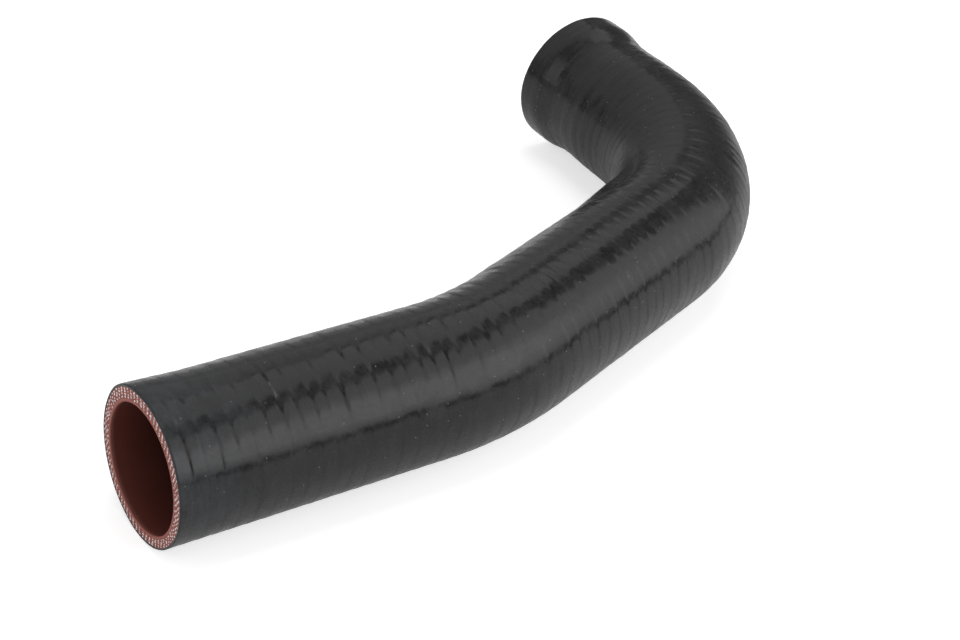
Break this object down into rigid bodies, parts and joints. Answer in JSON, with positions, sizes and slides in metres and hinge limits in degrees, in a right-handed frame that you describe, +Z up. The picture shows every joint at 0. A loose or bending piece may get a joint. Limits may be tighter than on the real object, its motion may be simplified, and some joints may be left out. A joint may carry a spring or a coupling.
{
  "type": "air intake hose",
  "caption": "Preformed rubber hose lying flat, with a gentle bend, a sharper bend, a slightly wider rear cuff and square-cut ends that show a red wall.",
  "frame": {"origin": "on the floor that the hose lies on, under the middle of its bounding box", "axes": "+X along the front leg, from its mouth into the hose; +Y the way the rear mouth opens; +Z up"},
  "size_m": [0.2858, 0.1676, 0.0514],
  "materials": {
    "cover": "satin black rubber with the marks of the tape it was cured in",
    "wall": "matt brick-red rubber, freshly cut, with white yarn ends in it",
    "lining": "smooth dull red rubber"
  },
  "bodies": {
    "root": {"hose": "cover"}
  },
  "joints": []
}
